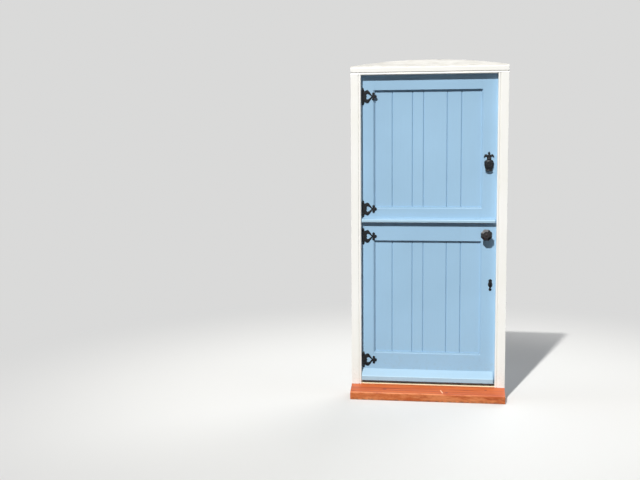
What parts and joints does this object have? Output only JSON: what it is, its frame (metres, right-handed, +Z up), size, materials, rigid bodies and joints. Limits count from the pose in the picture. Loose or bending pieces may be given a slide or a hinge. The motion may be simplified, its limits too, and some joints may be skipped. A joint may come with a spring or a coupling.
{
  "type": "dutch stable door",
  "caption": "Dutch stable door in its timber frame: two boarded leaves, one above the other, with an orange sill, black iron furniture and a hanging knocker.",
  "frame": {"origin": "middle of the sill's underside along the door, below the outer face of the frame", "axes": "+X to the right seen from outside, +Y into the house, +Z up"},
  "size_m": [0.943, 0.241, 2.072],
  "materials": {
    "white_frame_paint": "white gloss paint on softwood",
    "white_infill_paint": "rough white paint",
    "blue_door_paint": "pale blue paint on softwood boards",
    "orange_sill_stain": "orange-red stain, satin",
    "cream_strip_paint": "cream paint",
    "black_iron": "black japanned cast iron, lightly worn",
    "lock_steel": "bright zinc-plated steel",
    "bolt_brass": "plain brass"
  },
  "bodies": {
    "frame": {"hinge_jamb": "white_frame_paint", "lock_jamb": "white_frame_paint", "head": "white_frame_paint", "sill": "orange_sill_stain", "threshold_strip": "cream_strip_paint", "arch_infill": "white_infill_paint", "latch_keep": "lock_steel", "deadlock_keep": "lock_steel", "upper_top_hinge_jamb_leaf": "lock_steel", "upper_lower_hinge_jamb_leaf": "lock_steel", "lower_top_hinge_jamb_leaf": "lock_steel", "lower_bottom_hinge_jamb_leaf": "lock_steel", "upper_hinge_pins": "lock_steel", "lower_hinge_pins": "lock_steel"},
    "upper_leaf": {"upper_hinge_stile": "blue_door_paint", "upper_lock_stile": "blue_door_paint", "upper_bottom_rail": "blue_door_paint", "upper_top_rail": "blue_door_paint", "upper_board_1": "blue_door_paint", "upper_board_2": "blue_door_paint", "upper_board_3": "blue_door_paint", "upper_board_4": "blue_door_paint", "upper_board_5": "blue_door_paint", "upper_board_6": "blue_door_paint", "weather_bar": "blue_door_paint", "upper_hinge_fronts": "black_iron", "upper_top_hinge_door_leaf": "lock_steel", "upper_lower_hinge_door_leaf": "lock_steel", "knocker_plate": "black_iron", "knocker_pin": "black_iron", "stable_bolt_keeper": "black_iron"},
    "lower_leaf": {"lower_hinge_stile": "blue_door_paint", "lower_lock_stile": "blue_door_paint", "lower_bottom_rail": "blue_door_paint", "lower_top_rail": "blue_door_paint", "lower_board_1": "blue_door_paint", "lower_board_2": "blue_door_paint", "lower_board_3": "blue_door_paint", "lower_board_4": "blue_door_paint", "lower_board_5": "blue_door_paint", "lower_board_6": "blue_door_paint", "weatherboard": "blue_door_paint", "lower_hinge_fronts": "black_iron", "lower_top_hinge_door_leaf": "lock_steel", "lower_bottom_hinge_door_leaf": "lock_steel", "outer_rose": "black_iron", "inner_rose": "black_iron", "latch_case": "lock_steel", "lock_case": "lock_steel", "outer_escutcheon": "black_iron", "inner_escutcheon": "black_iron", "stable_bolt_plate": "black_iron"},
    "knocker": {"knocker_urn": "black_iron"},
    "knob": {"outer_knob": "black_iron", "inner_knob": "black_iron", "spindle": "lock_steel", "latch_follower": "lock_steel"},
    "latch": {"latch_bolt": "bolt_brass"},
    "deadbolt": {"deadbolt": "bolt_brass"},
    "stable_bolt": {"stable_bolt": "black_iron"}
  },
  "joints": [
    {"name": "upper_swing", "type": "hinge", "parent": "frame", "child": "upper_leaf", "pos_m": [-0.4205, 0.087, 1.5], "axis": [0, 0, 1], "range_deg": [0, 110]},
    {"name": "lower_swing", "type": "hinge", "parent": "frame", "child": "lower_leaf", "pos_m": [-0.4205, 0.087, 0.6], "axis": [0, 0, 1], "range_deg": [0, 110]},
    {"name": "knocker_swing", "type": "hinge", "parent": "upper_leaf", "child": "knocker", "pos_m": [0.361, 0.022, 1.479], "axis": [-1, 0, 0], "range_deg": [0, 80]},
    {"name": "knob_turn", "type": "hinge", "parent": "lower_leaf", "child": "knob", "pos_m": [0.35, 0.056, 1.02], "axis": [0, 1, 0], "range_deg": [0, 60]},
    {"name": "latch_throw", "type": "slide", "parent": "lower_leaf", "child": "latch", "axis": [1, 0, 0], "range_m": [0, 0.012]},
    {"name": "deadbolt_throw", "type": "slide", "parent": "lower_leaf", "child": "deadbolt", "axis": [1, 0, 0], "range_m": [0, 0.02]},
    {"name": "stable_bolt_slide", "type": "slide", "parent": "lower_leaf", "child": "stable_bolt", "axis": [0, 0, 1], "range_m": [0, 0.024]}
  ],
  "couplings": [
    {"joint": "latch_throw", "follows": "knob_turn", "m_per_rad": 0.01145}
  ]
}
